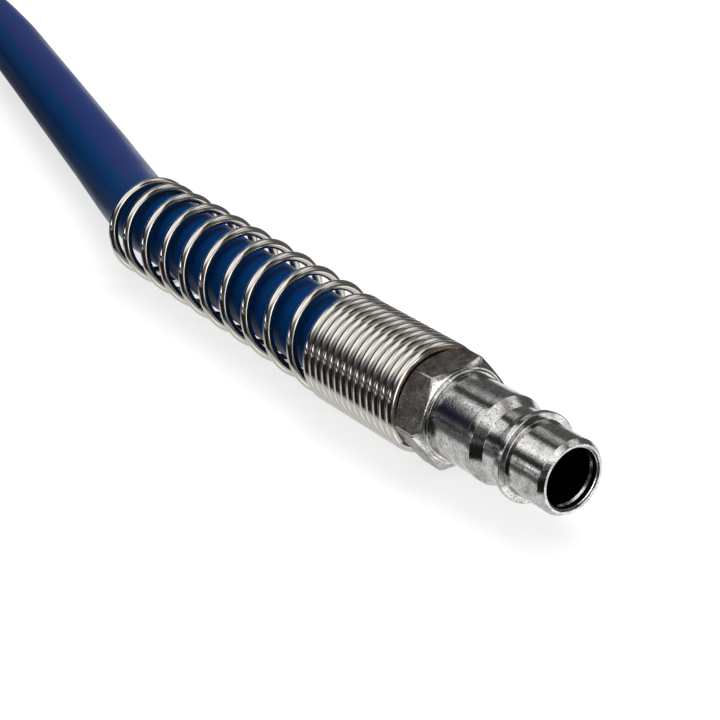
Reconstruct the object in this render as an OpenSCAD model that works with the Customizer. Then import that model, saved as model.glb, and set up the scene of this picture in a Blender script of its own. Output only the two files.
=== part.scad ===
// Coiled air hose: a recoil hose of polyurethane tube with a quick plug on one end
// and a sprung quick coupler on the other. Millimetres, +Z up.
// The origin is where the full width of the plug's nose begins, on the plug's axis,
// and +X points out of the nose. Both ends are drawn from a mouth, backwards.

/* [Hose] */
// Outer diameter of the hose
hose_od = 11.2; // [10.8:0.1:12]
// Inner diameter of the hose
hose_id = 7; // [6.8:0.1:7.2]
// Diameter of the coil at the middle of the hose
coil_d = 106; // [98:1:110]
// Loops in the coil
coil_loops = 13; // [8:1:14]
// Gap between neighbouring loops
coil_gap = 0.6; // [0.5:0.1:1.2]

/* [Plug] */
// Diameter of the nose
nose_d = 10; // [9.6:0.05:10.2]
// Length of the nose ahead of the collar
nose_len = 6.65; // [6.4:0.05:7.2]
// Bevel at the tip of the nose
nose_bevel = 0.7; // [0.4:0.1:0.8]
// Diameter of the air passage
passage_d = 7.5; // [6.5:0.1:8]
// Diameter of the collar that the coupler holds
collar_d = 12; // [11.8:0.05:12.2]
// Width of the collar's rim
collar_rim = 0.75; // [0.6:0.05:1]
// Diameter at the bottom of the locking groove
groove_d = 10.2; // [10:0.05:10.4]
// Flat width of the locking groove
groove_w = 2; // [1.8:0.1:2.3]
// Length of each slope beside the groove
groove_slope = 1.45; // [1.2:0.05:1.6]
// Diameter of the shoulder behind the groove
shoulder_d = 12; // [11.9:0.05:12.4]
// Width of the shoulder
shoulder_w = 1; // [0.8:0.1:1.4]
// Diameter of the shank
shank_d = 11.8; // [11.4:0.1:11.9]
// Length of the shank, up to the hexagon
shank_len = 7.4; // [6:0.1:8]
// Width of the plug's hexagon across its flats
plug_hex_af = 13.7; // [13.5:0.1:15]
// Length of the plug's hexagon
plug_hex_len = 5.7; // [5:0.1:8]
// How far the plug's hexagon is turned from lying flat
plug_hex_turn = 7; // [0:1:10]
// Fillet between the shank and the hexagon
shank_fillet = 0.35; // [0.2:0.05:0.4]

/* [Hose ends] */
// Length of the barbed tail from the hexagon to its tip
barb_len = 18.5; // [18:0.5:20]
// Number of barbs
barbs = 4; // [2:1:5]
// Height of a barb
barb_rise = 0.35; // [0.2:0.05:0.4]
// Diameter of the air passage through the barbed tail
barb_bore = 4.6; // [4:0.1:5]
// How far the crimped ferrule squeezes the hose, all round
ferrule_squeeze = 0.6; // [0.5:0.05:0.7]
// Wall of the crimped ferrule
ferrule_wall = 0.78; // [0.7:0.02:0.82]
// Crimped rings round the ferrule
crimps = 3; // [2:1:4]

/* [Guard spring] */
// Room between the ferrule and the guard spring, all round
guard_room = 0.65; // [0.6:0.05:0.9]
// Diameter of its wire
guard_wire = 1.4; // [1.2:0.05:1.4]
// Length of its close part over the ferrule
guard_close_len = 19; // [18.5:0.5:21]
// Turns in the close part
guard_close_turns = 10; // [8:1:10]
// Turns in the open part
guard_open_turns = 10; // [8:1:10]
// Length of one open turn
guard_open_pitch = 5.9; // [5:0.05:6]
// Length of the last open turn
guard_last_pitch = 4.2; // [3.5:0.1:5]
// Turns that lie flat at the open end
guard_tip_turns = 0.5; // [0.25:0.25:0.5]
// How far the plug's guard leans over with the hose at its open end
guard_lean = 1.9; // [1.7:0.1:2]

/* [Coupler] */
// Room between the plug and the coupler's bores, all round
plug_play = 0.05; // [0.04:0.01:0.08]
// Diameter of a locking ball
ball_d = 3; // [2.8:0.1:3.1]
// Distance from the mouth to the middle of the balls
ball_at = 5.5; // [5.4:0.1:6]
// How far a ball stands off the bottom of the plug's groove
ball_standoff = 0.2; // [0.15:0.05:0.25]
// How far the sleeve slides back
sleeve_travel = 4; // [3.6:0.2:4.2]
// Outer diameter of the sleeve
sleeve_d = 24; // [23.6:0.2:25]
// Depth of the sleeve's flutes
flute_depth = 0.4; // [0.2:0.1:0.6]
// Number of flutes round the sleeve
flutes = 24; // [12:2:30]
// Wire of the sleeve's spring
sleeve_spring_wire = 1; // [0.8:0.05:1]
// Turns of the sleeve's spring
sleeve_spring_turns = 4; // [3:0.5:4.5]
// Room for the sleeve's spring along the body
sleeve_spring_room = 10.2; // [10:0.2:11]
// Radial room inside a sliding fit
slide_play = 0.08; // [0.06:0.01:0.09]
// How far the valve is pushed back by a plug
valve_travel = 3.4; // [3:0.1:3.5]
// Radius of the valve chamber
chamber_r = 7.3; // [7.2:0.1:7.6]
// Length of the valve chamber ahead of the adapter
chamber_len = 10; // [9.8:0.2:11]
// Wire of the valve's spring
valve_spring_wire = 0.9; // [0.7:0.05:0.9]
// Turns of the valve's spring
valve_spring_turns = 3.25; // [2.25:0.5:3.25]
// Width of the coupler body's hexagon across its flats
body_hex_af = 21; // [20.6:0.2:22]
// Length of the coupler body's hexagon
body_hex_len = 4.5; // [4:0.5:6]
// Width of the adapter's hexagon across its flats
adapter_hex_af = 17; // [16:0.5:19]
// Length of the adapter's hexagon
adapter_hex_len = 5; // [4.5:0.5:7]

/* [Hidden] */
$fn = 72;

seat_gap = 0.02;          // between pieces that are seated in each other
touch_gap = 0.05;         // between a moving piece and its stop
little = 0.01;            // overshoot of a cut

half_hex = cos(30);
hose_r = hose_od / 2;

// Places along the plug, measured back from its tip
collar_at = nose_len;
groove_at = collar_at + collar_rim + groove_slope;
groove_end = groove_at + groove_w;
shoulder_at = groove_end + groove_slope;
shank_at = shoulder_at + shoulder_w;
plug_hex_at = shank_at + shank_len;
plug_tail_at = plug_hex_at + plug_hex_len;
plug_hex_face_r = shank_d / 2 + 0.35;
plug_hex_front_r = plug_hex_af / 2 - 0.05;
groove_mid = (groove_at + groove_end) / 2;
passage_taper = 3;         // length of the cone where the passage narrows

// Barbed tail, ferrule and hose end, measured back from the hexagon they follow
root_r = hose_id / 2 + 0.15;
neck_r = root_r + 0.8;
lip_w = 1.2;
lip_gap = 0.2;
hose_end_at = lip_w + lip_gap;
ferrule_len = barb_len + 0.5;
hose_end_len = barb_len + 1 - hose_end_at;
tail_start = hose_end_at + hose_end_len;
end_r = hose_r - ferrule_squeeze;
ferrule_r = end_r + seat_gap + ferrule_wall;
barb_pitch = (barb_len - hose_end_at - 1) / barbs;

// Guard spring, measured back from the hexagon
curl_rings = 8;
wire_sides = 6;
guard_r = ferrule_r + guard_room + guard_wire;
guard_mean_r = guard_r - guard_wire / 2;
guard_chord_r = guard_mean_r * cos(180 / curl_rings);   // halfway from ring to ring
guard_at = guard_wire / 2 + touch_gap;
guard_open_end = guard_close_turns + guard_open_turns;
guard_turns = guard_open_end + guard_tip_turns;
guard_open_len = (guard_open_turns - 1) * guard_open_pitch + guard_last_pitch;
guard_len = guard_close_len + guard_open_len;
guard_phase = 150;        // where round the axis the wire starts
// How far the plug's guard comes forward to rest on the 45 degree cone of the hexagon
guard_nest = max(0, guard_chord_r - plug_hex_face_r - guard_at * (sqrt(2) - 1));

// The floor: the plug's guard spring and the hose lie on it, each cut flat there
guard_flat = guard_wire / 10;
hose_flat = hose_od / 10;
floor_z = -(guard_r - guard_flat);
lying_z = floor_z + hose_r;

// Coupler, measured back from its mouth
socket_r = collar_d / 2 + plug_play;
relief_r = socket_r + 0.25;
ball_lip = 0.1;
nose_bore_r = nose_d / 2 + plug_play;
plug_depth = ball_at + groove_mid;
step_at = plug_depth - nose_len - plug_play;
ball_r = ball_d / 2;
ball_out = groove_d / 2 + ball_standoff + ball_r;
body_r = ball_out + ball_r;
ball_lift = socket_r - (ball_out - ball_r) + 3 * touch_gap;
relief_at = ball_at - ball_r - 0.2;
land_r = body_r + slide_play;
seal_cord = 1.5;
seal_at = step_at + 2;
seal_groove_w = seal_cord + 0.2;
valve_at = plug_depth - valve_travel;
seat_at = valve_at + 4.9;
adapter_at = seat_at + chamber_len;
ring_at = 1.3;
ring_w = 1;
ring_in = body_r - 0.6;
ring_out = body_r + 1.2;
sleeve_front = 0.2;
sleeve_stop = ring_at + ring_w + touch_gap;
sleeve_r = sleeve_d / 2;
ramp_rise = ball_lift / sleeve_travel;
ramp_margin = 0.06;
ramp_end = ball_at + 0.3;
ramp_front_r = land_r + ramp_margin + ramp_rise * (ball_at - sleeve_stop);
land_end = ball_at + ball_r + 1.3;
flange_at = land_end + sleeve_spring_room;
flange_r = body_r + 1.6;
sleeve_bore = flange_r + slide_play;
sleeve_end = flange_at + 3.7;
body_hex_at = sleeve_end + sleeve_travel + 1;
body_end = body_hex_at + body_hex_len;
adapter_end = body_end + adapter_hex_len;
adapter_r = chamber_r - seat_gap;

// The coupler lies beside the plug, both pointing the same way
coupler_z = floor_z + sleeve_r;
coupler_y = -123;
coupler_mouth = [12, coupler_y, coupler_z];
coupler_tail_x = coupler_mouth[0] - adapter_end - tail_start;

// The coil lies on its side behind both
coil_start = [-300, -60];
coil_axis_z = floor_z + hose_r - hose_flat + coil_d / 2;
loop_rings = 24;
coil_lead = hose_od;
coil_pitch = hose_od + coil_gap;
coil_end_x = coil_start[0] + coil_loops * coil_pitch;

// Routes of the hose's two free stretches
tail_straight = 1.5;        // before a tail bends, so that its end lies flat on the hose end
plug_tail_x = nose_bevel - plug_tail_at - tail_start;
plug_route = [
    [plug_tail_x, 0, 0], [plug_tail_x - tail_straight, 0, 0], [-50, 0.2, 0], [-57, 0.5, 0],
    [-64, 0.9, 0], [-72, 1.2, 0], [-80, 1.5, 0], [-88, 1.7, 0.1], [-96, 1.85, 0.1],
    [-103, 1.95, 0.1], [-108, 3, 0], [-118, 7, -1.2], [-134, 12, lying_z], [-150, 16.3, lying_z], [-174, 22.6, lying_z],
    [-198, 29, lying_z], [-222, 35.6, lying_z], [-246, 40.8, lying_z], [-261, 42.4, lying_z],
    [-276, 38.6, lying_z], [-288.5, 29.4, lying_z], [-297, 16.5, lying_z],
    [coil_start[0], 1, lying_z], [coil_start[0], -18, lying_z - 0.3],
    [coil_start[0], coil_start[1] + 2 * coil_lead, lying_z - hose_flat],
    [coil_start[0], coil_start[1] + coil_lead, lying_z - hose_flat]];
coupler_route = [
    [coil_end_x, coil_start[1] - coil_lead, lying_z - hose_flat],
    [coil_end_x, coil_start[1] - 2 * coil_lead, lying_z - hose_flat],
    [coil_end_x + 3, -96.5, -2.1], [coil_end_x + 11.5, -110, -0.4],
    [coil_end_x + 24, -119, 2.1], [coil_end_x + 35, -122.6, 3.9],
    [coil_end_x + 44, coupler_y, coupler_z], [coil_end_x + 60, coupler_y, coupler_z],
    [coil_end_x + 76, coupler_y, coupler_z], [coupler_tail_x, coupler_y, coupler_z]];
cord_sides = 10;
cord_step = 17;

// ---------------------------------------------------------------- tubes that bend

function unit(v) = v / norm(v);
function ahead(path, i) =
    unit(path[min(i + 1, len(path) - 1)] - path[max(i - 1, 0)]);
// The rings of corners round a path, with one sideways direction for each point
function tube_corners(path, sideways, r, sides) = [
    for (i = [0 : len(path) - 1])
        let (along = ahead(path, i))
        let (across = unit(sideways[i] - (sideways[i] * along) * along))
        let (up = cross(along, across))
        for (k = [0 : sides - 1])
            path[i] + r * (cos(360 * k / sides) * across + sin(360 * k / sides) * up)];
function tube_faces(rings, sides) = concat(
    [for (k = [1 : sides - 2]) [0, k, k + 1]],
    [for (i = [0 : rings - 2]) for (k = [0 : sides - 1])
        let (a = i * sides + k)
        let (b = i * sides + (k + 1) % sides)
        each [[a, a + sides, b], [b, a + sides, b + sides]]],
    [for (k = [1 : sides - 2])
        let (last = (rings - 1) * sides)
        [last, last + k + 1, last + k]]);
module bent_tube(path, sideways, r, sides) {
    polyhedron(points = tube_corners(path, sideways, r, sides),
               faces = tube_faces(len(path), sides));
}
// Least distance between the surfaces of turns that pass each other
function least_gap(path, turn_rings, d) = min([
    for (i = [0 : len(path) - 1])
        for (j = [i + floor(turn_rings / 2) : 1 : min(i + 2 * turn_rings, len(path) - 1)])
            norm(path[i] - path[j])]) - d;

// A smooth curve through hand-set points, with a point about every cord_step
function curve_point(p, i, t) =
    let (n = len(p) - 1)
    let (a = p[max(i - 1, 0)])
    let (b = p[i])
    let (c = p[min(i + 1, n)])
    let (d = p[min(i + 2, n)])
    0.5 * ((2 * b) + (c - a) * t + (2 * a - 5 * b + 4 * c - d) * t * t
           + (3 * b - a - 3 * c + d) * t * t * t);
function smooth(p) = concat(
    [for (i = [0 : len(p) - 2])
        let (steps = max(1, round(norm(p[i + 1] - p[i]) / cord_step)))
        for (k = [0 : steps - 1]) curve_point(p, i, k / steps)],
    [p[len(p) - 1]]);
function level_side(path) = [
    for (i = [0 : len(path) - 1]) cross(ahead(path, i), [0, 0, 1])];

// ---------------------------------------------------------------- shared pieces

// Turns a piece drawn back from a mouth along +Z so that it runs along -X
module from_plug_tip() {
    translate([nose_bevel, 0, 0]) rotate([0, -90, 0]) children();
}
module from_coupler_mouth() {
    translate(coupler_mouth) rotate([0, -90, 0]) children();
}
module lathe(outline) {
    rotate_extrude() polygon(outline);
}
// A hexagon with both ends turned down to face_r by a cone; steep is its length over its rise
module hexagon(af, length, front_r, front_steep, face_r, steep) {
    corner_r = af / 2 / half_hex;
    front_bevel = (corner_r - front_r) * front_steep;
    bevel = (corner_r - face_r) * steep;
    intersection() {
        cylinder(r = corner_r, h = length, $fn = 6);
        lathe([[0, 0], [front_r, 0], [corner_r, front_bevel],
               [corner_r, length - bevel], [face_r, length], [0, length]]);
    }
}

// Outside of a barbed tail: neck, then barbs that slope towards the tip
function barb_outline(grow) = concat(
    [[0, 0], [neck_r + grow, 0], [neck_r + grow, lip_w], [root_r + grow, lip_w]],
    [for (i = [0 : barbs - 1])
        let (z = hose_end_at + 0.6 + i * barb_pitch)
        each [[root_r + grow, z], [root_r + barb_rise + grow, z],
              [root_r + grow, z + barb_pitch * 0.8]]],
    [[root_r + grow, barb_len + grow], [0, barb_len + grow]]);

module ferrule() {
    difference() {
        cylinder(r = ferrule_r, h = ferrule_len);
        translate([0, 0, -little])
            cylinder(r = neck_r + seat_gap, h = lip_w + 2 * little);
        translate([0, 0, lip_w])
            cylinder(r = end_r + seat_gap, h = ferrule_len);
        for (i = [1 : crimps])
            translate([0, 0, ferrule_len * i / (crimps + 1)])
                lathe([[ferrule_r - 0.25, -1], [ferrule_r + 1, -1.4],
                       [ferrule_r + 1, 1.4], [ferrule_r - 0.25, 1]]);
    }
}

module hose_end() {
    difference() {
        lathe([[0, hose_end_at], [end_r, hose_end_at], [end_r, ferrule_len + seat_gap],
               [hose_r, tail_start], [0, tail_start]]);
        lathe(barb_outline(seat_gap));
        cylinder(r = hose_id / 2, h = tail_start + little);
    }
}

// Turn by turn lengths of a guard spring: close turns, open turns, then the flat end
guard_close_pitch = guard_close_len / guard_close_turns;
function guard_climb(turn) =
    turn <= guard_close_turns ? turn * guard_close_pitch
    : turn <= guard_open_end - 1
        ? guard_close_len + (turn - guard_close_turns) * guard_open_pitch
        : guard_len - max(0, guard_open_end - turn) * guard_last_pitch;
// Sideways lean of the open turns: quick at first, then steady
function guard_shift(climb, lean) =
    let (u = max(0, (climb - guard_close_len) / guard_open_len))
    lean * (1 - pow(1 - u, 2));
guard_rings = round(guard_turns * curl_rings);
function guard_path(back, lean) = [
    for (i = [0 : guard_rings])
        let (turn = i / curl_rings)
        let (climb = guard_climb(turn))
        let (a = guard_phase - 360 * turn)
        [-(back + guard_at + climb),
         guard_mean_r * cos(a) + guard_shift(climb, lean),
         guard_mean_r * sin(a)]];
guard_outward = [
    for (i = [0 : guard_rings])
        let (a = guard_phase - 360 * i / curl_rings)
        [0, cos(a), sin(a)]];
module guard_spring(back, lean) {
    bent_tube(guard_path(back, lean), guard_outward, guard_wire / 2, wire_sides);
}

// A plain compression spring along +Z from z = 0, wire included in its length
module inner_spring(mean_r, wire, turns, length) {
    rings = 12;
    count = round(turns * rings);
    path = [for (i = [0 : count])
        [mean_r * cos(360 * i / rings), mean_r * sin(360 * i / rings),
         wire / 2 + (length - wire) * i / count]];
    outward = [for (p = path) [p[0], p[1], 0]];
    bent_tube(path, outward, wire / 2, wire_sides);
}

module o_ring(mean_r, cord) {
    rotate_extrude() translate([mean_r, 0]) circle(d = cord, $fn = 32);
}

module under_floor() {
    translate([-500, -300, floor_z - 40]) cube([700, 500, 40]);
}

// ---------------------------------------------------------------- plug end

module plug_body() {
    color("silver") from_plug_tip() difference() {
        union() {
            lathe([[0, 0], [nose_d / 2 - nose_bevel * 0.65, 0], [nose_d / 2, nose_bevel],
                   [nose_d / 2, collar_at], [collar_d / 2 - 0.1, collar_at],
                   [collar_d / 2, collar_at + 0.1], [collar_d / 2, collar_at + collar_rim],
                   [groove_d / 2, groove_at], [groove_d / 2, groove_end],
                   [shoulder_d / 2, shoulder_at], [shoulder_d / 2, shank_at],
                   [shank_d / 2, shank_at + 0.3], [shank_d / 2, plug_hex_at - shank_fillet],
                   [shank_d / 2 + shank_fillet, plug_hex_at + little],
                   [0, plug_hex_at + little]]);
            translate([0, 0, plug_hex_at]) rotate(90 - plug_hex_turn)
                hexagon(plug_hex_af, plug_hex_len, plug_hex_front_r, 0.6, plug_hex_face_r, 1);
            translate([0, 0, plug_tail_at - little]) lathe(barb_outline(0));
        }
        translate([0, 0, -little]) lathe([
            [0, 0], [passage_d / 2 + 0.42, 0], [passage_d / 2, 1.3],
            [passage_d / 2, plug_hex_at], [barb_bore / 2, plug_hex_at + passage_taper],
            [barb_bore / 2, plug_tail_at + barb_len + 1], [0, plug_tail_at + barb_len + 1]]);
    }
}

module plug_ferrule() {
    color("gainsboro") from_plug_tip() translate([0, 0, plug_tail_at]) ferrule();
}

module plug_hose_end() {
    color("midnightblue") from_plug_tip() translate([0, 0, plug_tail_at]) hose_end();
}

module plug_guard_spring() {
    color("lightgray") difference() {
        guard_spring(plug_tail_at - nose_bevel - guard_nest, guard_lean);
        under_floor();
    }
}

// ---------------------------------------------------------------- hose

plug_tail_path = smooth(plug_route);
coupler_tail_path = smooth(coupler_route);

module hose_plug_tail() {
    color("navy") difference() {
        bent_tube(plug_tail_path, level_side(plug_tail_path), hose_r, cord_sides);
        under_floor();
    }
}

module hose_coupler_tail() {
    color("navy") difference() {
        bent_tube(coupler_tail_path, level_side(coupler_tail_path), hose_r, cord_sides);
        under_floor();
    }
}

// The coil: a straight lead at each end, and loops that climb along +X.
// It runs towards -Y at its lowest point.
function coil_point(turn) = [
    coil_start[0] + coil_pitch * turn,
    coil_start[1] - coil_d / 2 * sin(360 * turn),
    coil_axis_z - coil_d / 2 * cos(360 * turn)];
function coil_outward(turn) = [0, -sin(360 * turn), -cos(360 * turn)];
coil_count = coil_loops * loop_rings;
coil_path = concat(
    [coil_point(0) + [0, coil_lead, 0]],
    [for (i = [0 : coil_count]) coil_point(i / loop_rings)],
    [coil_point(coil_loops) - [0, coil_lead, 0]]);
coil_sideways = concat(
    [coil_outward(0)],
    [for (i = [0 : coil_count]) coil_outward(i / loop_rings)],
    [coil_outward(coil_loops)]);

module hose_coil() {
    color("navy") difference() {
        bent_tube(coil_path, coil_sideways, hose_r, wire_sides);
        under_floor();
    }
}

// ---------------------------------------------------------------- coupler end

module coupler_guard_spring() {
    color("lightgray") translate([coupler_mouth[0], coupler_y, coupler_z])
        guard_spring(adapter_end, 0);
}

module coupler_hose_end() {
    color("midnightblue") from_coupler_mouth() translate([0, 0, adapter_end]) hose_end();
}

module coupler_ferrule() {
    color("gainsboro") from_coupler_mouth() translate([0, 0, adapter_end]) ferrule();
}

adapter_groove_at = adapter_at + 1.6;
adapter_seal_cord = 1.1;
adapter_groove_w = adapter_seal_cord + 0.2;
module coupler_adapter() {
    color("silver") from_coupler_mouth() difference() {
        union() {
            translate([0, 0, adapter_at]) cylinder(r = adapter_r, h = body_end - adapter_at + 1);
            translate([0, 0, body_end]) rotate(30)
                hexagon(adapter_hex_af, adapter_hex_len,
                        adapter_hex_af / 2 - 0.2, 0.6, adapter_hex_af / 2 - 0.2, 0.6);
            translate([0, 0, adapter_end - little]) lathe(barb_outline(0));
        }
        translate([0, 0, adapter_groove_at]) difference() {
            cylinder(r = adapter_r + 1, h = adapter_groove_w);
            translate([0, 0, -little])
                cylinder(r = chamber_r - adapter_seal_cord - seat_gap,
                         h = adapter_groove_w + 2 * little);
        }
        translate([0, 0, adapter_at - little]) cylinder(r = 3.9, h = body_end - adapter_at);
        translate([0, 0, adapter_at]) cylinder(r = barb_bore / 2, h = 100);
    }
}

module adapter_seal() {
    color("black") from_coupler_mouth()
        translate([0, 0, adapter_groove_at + adapter_groove_w / 2])
            o_ring(chamber_r - adapter_seal_cord / 2 - seat_gap / 2, adapter_seal_cord - seat_gap);
}

module coupler_body() {
    color("silver") from_coupler_mouth() difference() {
        union() {
            lathe([[0, 0], [body_r - 0.8, 0], [body_r, 0.5], [body_r, ring_at],
                   [ring_in, ring_at], [ring_in, ring_at + ring_w + little],
                   [body_r, ring_at + ring_w + little], [body_r, flange_at],
                   [flange_r, flange_at], [flange_r, body_hex_at + little],
                   [0, body_hex_at + little]]);
            translate([0, 0, body_hex_at]) rotate(30)
                hexagon(body_hex_af, body_hex_len,
                        body_hex_af / 2 - 0.2, 0.6, body_hex_af / 2 - 0.2, 0.6);
        }
        // Socket for the plug, then the seal's groove, the valve's seat and chamber
        translate([0, 0, -little]) lathe([
            [0, 0], [socket_r + 0.5, 0], [socket_r, 0.5], [socket_r, relief_at],
            [relief_r, relief_at + 0.1], [relief_r, step_at], [nose_bore_r, step_at],
            [nose_bore_r, seal_at - seal_groove_w / 2],
            [nose_bore_r - plug_play - 0.1 + seal_cord, seal_at - seal_groove_w / 2],
            [nose_bore_r - plug_play - 0.1 + seal_cord, seal_at + seal_groove_w / 2],
            [nose_bore_r, seal_at + seal_groove_w / 2], [nose_bore_r, seat_at],
            [chamber_r, seat_at], [chamber_r, body_end + 1], [0, body_end + 1]]);
        // Holes for the balls, each with a lip inside that the ball can't pass
        for (k = [0 : 3]) rotate(90 * k) translate([0, 0, ball_at]) rotate([0, 90, 0]) {
            translate([0, 0, relief_r + ball_lip]) cylinder(r = ball_r + touch_gap, h = body_r);
            cylinder(r = ball_r - 0.04, h = body_r);
        }
    }
}

module nose_seal() {
    color("black") from_coupler_mouth() translate([0, 0, seal_at])
        o_ring(nose_d / 2 - 0.1 + seal_cord / 2, seal_cord - seat_gap);
}

module retaining_ring() {
    color("dimgray") from_coupler_mouth() translate([0, 0, ring_at + seat_gap]) difference() {
        cylinder(r = ring_out, h = ring_w - seat_gap);
        translate([0, 0, -1]) cylinder(r = ring_in + seat_gap, h = ring_w + 2);
        translate([0, -1.2, -1]) cube([ring_out + 1, 2.4, ring_w + 2]);
    }
}

module sleeve_spring() {
    gap = 0.03;
    outside = sleeve_bore - 0.18;
    color("lightgray") from_coupler_mouth() translate([0, 0, land_end + gap])
        inner_spring(outside - sleeve_spring_wire / 2, sleeve_spring_wire,
                     sleeve_spring_turns, sleeve_spring_room - 2 * gap);
}

module locking_sleeve() {
    grip_at = sleeve_front + 4.6;
    grip_end = sleeve_end - 4;
    grip_r = sleeve_r - 0.35;
    color("silver") from_coupler_mouth() difference() {
        lathe([[sleeve_bore - 0.2, sleeve_front], [sleeve_r - 0.9, sleeve_front],
               [sleeve_r, sleeve_front + 0.9], [sleeve_r, grip_at - 0.8],
               [sleeve_r - 1.1, grip_at - 0.4], [sleeve_r - 1.1, grip_at],
               [grip_r, grip_at + 0.5], [grip_r, grip_end - 0.5],
               [sleeve_r - 1.1, grip_end], [sleeve_r - 1.1, grip_end + 0.4],
               [sleeve_r, grip_end + 0.8], [sleeve_r, sleeve_end - 0.7],
               [sleeve_r - 0.7, sleeve_end], [sleeve_bore, sleeve_end],
               [sleeve_bore, land_end], [land_r, land_end], [land_r, ramp_end],
               [land_r + ramp_margin, ball_at], [ramp_front_r, sleeve_stop],
               [sleeve_bore - 0.2, sleeve_stop]]);
        for (k = [0 : flutes - 1]) rotate(360 * k / flutes)
            translate([grip_r + 0.8 - flute_depth, 0, grip_at - 0.2])
                cylinder(r = 0.8, h = grip_end - grip_at + 0.4, $fn = 24);
    }
}

module locking_ball(k) {
    color("white") from_coupler_mouth() rotate(90 * k)
        translate([ball_out, 0, ball_at]) sphere(r = ball_r);
}

// The groove of the valve's seal lies between the head's tube and its rim
valve_head_r = chamber_r - 0.7;
seal_groove_in = nose_bore_r + 0.275;
seal_groove_out = valve_head_r - 0.125;
seal_seat_r = (seal_groove_in + seal_groove_out) / 2;
valve_seal_cord = seal_groove_out - seal_groove_in - 0.1;
head_at = seat_at + 0.3;
head_end = head_at + 2.3;
seal_floor = seat_at + touch_gap + valve_seal_cord;
module valve_poppet() {
    tube_r = nose_bore_r - slide_play;
    window_at = valve_at + 1.6;
    color("goldenrod") from_coupler_mouth() difference() {
        union() {
            translate([0, 0, valve_at]) cylinder(r = tube_r, h = head_at - valve_at + little);
            translate([0, 0, head_at]) cylinder(r = valve_head_r, h = head_end - head_at);
            translate([0, 0, head_end - little]) cylinder(r = 3.5, h = 1.9);
        }
        translate([0, 0, valve_at - little])
            cylinder(r = tube_r - 1.1, h = head_at - valve_at + 0.6);
        for (k = [0 : 2]) rotate(120 * k + 30) translate([1, -2, window_at])
            cube([tube_r, 4, head_at - window_at - 0.4]);
        translate([0, 0, head_at - little]) difference() {
            cylinder(r = seal_groove_out, h = seal_floor - head_at + little);
            translate([0, 0, -1]) cylinder(r = seal_groove_in, h = 5);
        }
    }
}

module valve_seal() {
    color("black") from_coupler_mouth() translate([0, 0, seal_floor - valve_seal_cord / 2])
        o_ring(seal_seat_r, valve_seal_cord - seat_gap);
}

module valve_spring() {
    gap = 0.03;
    color("lightgray") from_coupler_mouth() translate([0, 0, head_end + gap])
        inner_spring(5.1, valve_spring_wire, valve_spring_turns,
                     adapter_at - head_end - 2 * gap);
}

// ---------------------------------------------------------------- measures

echo(coil_least_gap = least_gap(coil_path, loop_rings, hose_od));
echo(guard_least_gap = least_gap(guard_path(0, guard_lean), curl_rings, guard_wire));
echo(coil_width = coil_d + hose_od, coupler_length = adapter_end + guard_at + guard_len);
echo(coil_hose = coil_loops * norm([PI * coil_d, coil_pitch]));

plug_body();
plug_ferrule();
plug_hose_end();
plug_guard_spring();
hose_plug_tail();
hose_coil();
hose_coupler_tail();
coupler_guard_spring();
coupler_hose_end();
coupler_ferrule();
coupler_adapter();
adapter_seal();
coupler_body();
nose_seal();
retaining_ring();
sleeve_spring();
locking_sleeve();
locking_ball(0);  // locking_ball_1
locking_ball(1);  // locking_ball_2
locking_ball(2);  // locking_ball_3
locking_ball(3);  // locking_ball_4
valve_spring();
valve_poppet();
valve_seal();
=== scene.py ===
# %% [markdown]
# # A coiled air hose
#
# A recoil hose carries compressed air to a hand tool and pulls itself back into a coil
# when it is let go. One end has a turned steel plug, the other a sprung quick coupler,
# and a wire guard spring behind each keeps the hose from kinking.
#
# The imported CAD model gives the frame: every piece here goes where its solid is. The
# script swaps the plain solids for finished pieces and gives each one a material.

# %% Load the frame
import math
from functools import partial

import bmesh
import bpy
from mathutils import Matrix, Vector


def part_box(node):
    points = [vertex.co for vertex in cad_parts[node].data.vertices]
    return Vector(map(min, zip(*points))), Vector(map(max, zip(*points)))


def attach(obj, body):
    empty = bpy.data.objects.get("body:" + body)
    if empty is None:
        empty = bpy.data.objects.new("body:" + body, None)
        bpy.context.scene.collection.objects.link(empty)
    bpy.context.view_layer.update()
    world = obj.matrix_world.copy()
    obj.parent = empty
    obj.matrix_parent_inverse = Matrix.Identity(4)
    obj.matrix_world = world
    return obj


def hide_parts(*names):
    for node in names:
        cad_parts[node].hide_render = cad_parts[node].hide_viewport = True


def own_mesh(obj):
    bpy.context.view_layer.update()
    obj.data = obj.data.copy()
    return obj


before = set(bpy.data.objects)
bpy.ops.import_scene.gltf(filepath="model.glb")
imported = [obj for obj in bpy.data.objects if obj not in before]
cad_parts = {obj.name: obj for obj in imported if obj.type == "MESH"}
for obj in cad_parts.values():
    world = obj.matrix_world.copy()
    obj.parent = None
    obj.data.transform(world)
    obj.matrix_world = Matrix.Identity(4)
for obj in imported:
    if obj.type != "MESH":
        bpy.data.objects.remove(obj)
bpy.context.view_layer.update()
MM = 0.001  # sizes below are in millimetres, and Blender works in metres

# %% [markdown]
# ## Helpers for colours and nodes
#
# A colour is easiest to write as the hex value that a screen shows, but a shader wants
# linear light. Shaders and Geometry Nodes are both built from nodes, so one function
# that adds a node, sets it up and joins it to others serves for both. The kinds that come
# up most have short names of their own.

# %% Colour and node helpers
def linear(hex_colour):
    """The linear RGBA of a colour written as sRGB hex."""
    parts = [int(hex_colour[i : i + 2], 16) / 255 for i in (1, 3, 5)]
    low = [part / 12.92 for part in parts]
    high = [((part + 0.055) / 1.055) ** 2.4 for part in parts]
    return [a if part <= 0.04045 else b for part, a, b in zip(parts, low, high)] + [1.0]


def join(tree, node, inputs):
    """Set a node's inputs. Each takes a value, a socket, or a node, for its first output."""
    for name, value in inputs.items():
        if isinstance(value, bpy.types.Node):
            value = value.outputs[0]
        if isinstance(value, bpy.types.NodeSocket):
            tree.links.new(value, node.inputs[name])
        else:
            node.inputs[name].default_value = value
    return node


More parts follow.
